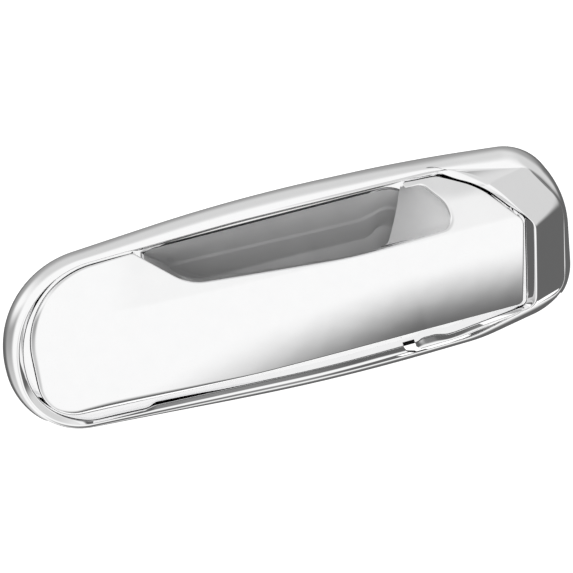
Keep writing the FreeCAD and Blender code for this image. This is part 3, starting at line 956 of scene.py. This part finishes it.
def make_foam():
    """Black closed-cell foam with fine cells and a duller, greyer skin in places."""
    material, tree, shader = node_material("foam_tape")
    nodes = Nodes(tree)
    place = nodes.new("ShaderNodeTexCoord").outputs["Object"]
    cells = nodes.new("ShaderNodeTexVoronoi")
    cells.inputs["Scale"].default_value = 1600.0
    nodes.join(place, cells.inputs["Vector"])
    patches = nodes.noise(place, 120.0, 3.0)
    tint = nodes.new("ShaderNodeMix", data_type="RGBA")
    nodes.join(patches, tint.inputs["Factor"])
    tint.inputs["A"].default_value = (0.11, 0.11, 0.115, 1)
    tint.inputs["B"].default_value = (0.19, 0.19, 0.2, 1)
    nodes.join(tint.outputs["Result"], shader.inputs["Base Color"])
    nodes.join(nodes.step(patches, 0.3, 0.7, 0.8, 0.97), shader.inputs["Roughness"])
    bump = nodes.new("ShaderNodeBump")
    bump.inputs["Strength"].default_value = 0.7
    bump.inputs["Distance"].default_value = 0.0002
    nodes.join(cells.outputs["Distance"], bump.inputs["Height"])
    nodes.join(bump.outputs["Normal"], shader.inputs["Normal"])
    return material


# Greys of the studio, as shades on the screen
WHITE = 1.0
PALE = 0.85
MIDDLE = 0.65
DARK = 0.4

# What stands round the object, from below (-1) to above (1), with the sine of the height.
# Ahead a white wall fades into a dark floor, right a pale wall stands over a dark plinth, left a
# white card hangs over a grey wall, and behind is a dark room with a pale ceiling.
STUDIO_FRONT = [(-1.0, DARK), (-0.8, DARK), (-0.4, WHITE), (0.5, WHITE), (1.0, PALE)]
STUDIO_RIGHT = [(-1.0, DARK), (-0.2, DARK), (0.1, PALE), (1.0, PALE)]
STUDIO_LEFT = [(-1.0, DARK), (-0.5, PALE), (0.2, MIDDLE), (0.5, WHITE)]
STUDIO_BACK = [(-1.0, DARK), (-0.1, DARK), (0.5, MIDDLE), (1.0, PALE)]


def make_world():
    """Soft studio light: brightest ahead, greyer to the sides, behind, above and below."""
    world = bpy.data.worlds.new("studio")
    bpy.context.scene.world = world
    world.use_nodes = True
    nodes = Nodes(world.node_tree)
    background = world.node_tree.nodes["Background"]
    direction = nodes.new("ShaderNodeTexCoord").outputs["Generated"]
    split = nodes.new("ShaderNodeSeparateXYZ")
    nodes.join(direction, split.inputs[0])
    x, y, z = split.outputs
    tilted = nodes.math("SUBTRACT", z, nodes.math("MULTIPLY", x, 0.35))
    level = nodes.ramp(tilted, STUDIO_FRONT)
    level = nodes.mix(nodes.step(x, 0.2, 0.6), level, nodes.ramp(z, STUDIO_RIGHT))
    level = nodes.mix(nodes.step(x, -0.85, -0.5, 1.0, 0.0), level, nodes.ramp(z, STUDIO_LEFT))
    level = nodes.mix(nodes.step(y, 0.1, 0.6), level, nodes.ramp(z, STUDIO_BACK))
    nodes.join(level, background.inputs["Color"])


# The floor and its backdrop: one plain pale sheet below and behind the object
FLOOR_LEVEL = -0.3
FLOOR_FRONT = -0.05
FLOOR_HALF_WIDTH = 0.3
SWEEP_START = 1.2
SWEEP_RADIUS = 0.3
BACKDROP_TOP = 0.1
FLOOR_GLOW = 0.66


def make_floor():
    """A pale sweep that shows white to the camera and to the metal, and takes the shadow."""
    profile = [(FLOOR_FRONT, FLOOR_LEVEL)]
    for step in range(13):
        angle = math.pi / 2 * step / 12
        ahead = SWEEP_START + SWEEP_RADIUS * math.sin(angle)
        profile.append((ahead, FLOOR_LEVEL + SWEEP_RADIUS * (1 - math.cos(angle))))
    profile.append((SWEEP_START + SWEEP_RADIUS, BACKDROP_TOP))
    points = [(side * FLOOR_HALF_WIDTH, y, z) for y, z in profile for side in (-1, 1)]
    faces = [(2 * i, 2 * i + 1, 2 * i + 3, 2 * i + 2) for i in range(len(profile) - 1)]
    data = bpy.data.meshes.new("floor")
    data.from_pydata(points, [], faces)
    data.polygons.foreach_set("use_smooth", [True] * len(faces))
    data.update()
    floor = bpy.data.objects.new("floor", data)
    bpy.context.scene.collection.objects.link(floor)
    material, tree, shader = node_material("pale_floor")
    shader.inputs["Base Color"].default_value = (0.8, 0.8, 0.8, 1)
    shader.inputs["Roughness"].default_value = 0.7
    shader.inputs["Emission Color"].default_value = (1, 1, 1, 1)
    nodes = Nodes(tree)
    path = nodes.new("ShaderNodeLightPath").outputs
    seen = nodes.math("MAXIMUM", path["Is Camera Ray"], path["Is Glossy Ray"])
    seen = nodes.math("MAXIMUM", seen, path["Is Transmission Ray"])
    nodes.join(nodes.math("MULTIPLY", seen, FLOOR_GLOW), shader.inputs["Emission Strength"])
    data.materials.append(material)


make_camera()
chrome = make_chrome()
dull_back = make_dull_back()
satin = make_satin()
foam = make_foam()
base = base_cover()
lever = lever_cover()
for piece, node in ((base, "base_cover"), (lever, "lever_cover")):
    piece.data.materials.append(chrome)
    piece.data.materials.append(dull_back)
    piece.data.materials.append(satin)
    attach(piece, "root")
    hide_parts(node)


# Each pad's place, its size, and the surfaces in front of it and behind it
base_tape = (TAPE_WIDTH, BASE_TAPE_HEIGHT)
bucket_tape = (BUCKET_TAPE_LENGTH, TAPE_WIDTH)
lever_tape = (TAPE_WIDTH, LEVER_TAPE_HEIGHT)
lever_tape_y = SHOULDER_Y - LEVER_TAPE_BELOW_SHOULDER
behind_tray = (level_at(TRAY - WALL), level_at(TRAY - WALL - TAPE))
behind_bucket = (level_at(-BUCKET_DEPTH - WALL), level_at(-BUCKET_DEPTH - WALL - TAPE))
behind_paddle = (under_paddle(WALL), under_paddle(WALL + TAPE))
pads = {
    "base_tape_left": (left + BASE_TAPE_FROM_LEFT, 0, base_tape, behind_tray),
    "base_tape_right": (right - BASE_TAPE_FROM_RIGHT, -BASE_TAPE_DROP, base_tape, behind_tray),
    "base_tape_bucket": (BUCKET_TAPE_X, 0, bucket_tape, behind_bucket),
    "lever_tape_left": (left + LEVER_TAPE_FROM_LEFT, lever_tape_y, lever_tape, behind_paddle),
    "lever_tape_middle": (0, lever_tape_y, lever_tape, behind_paddle),
    "lever_tape_right": (right - LEVER_TAPE_FROM_RIGHT, lever_tape_y, lever_tape, behind_paddle),
}
for name, (x, y, size, surfaces) in pads.items():
    pad = foam_pad(name + "_foam", x, y, *size, *surfaces)
    pad.data.materials.append(foam)
    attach(pad, "root")
    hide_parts(name)
make_world()
make_floor()
bpy.context.scene.view_settings.view_transform = "Standard"
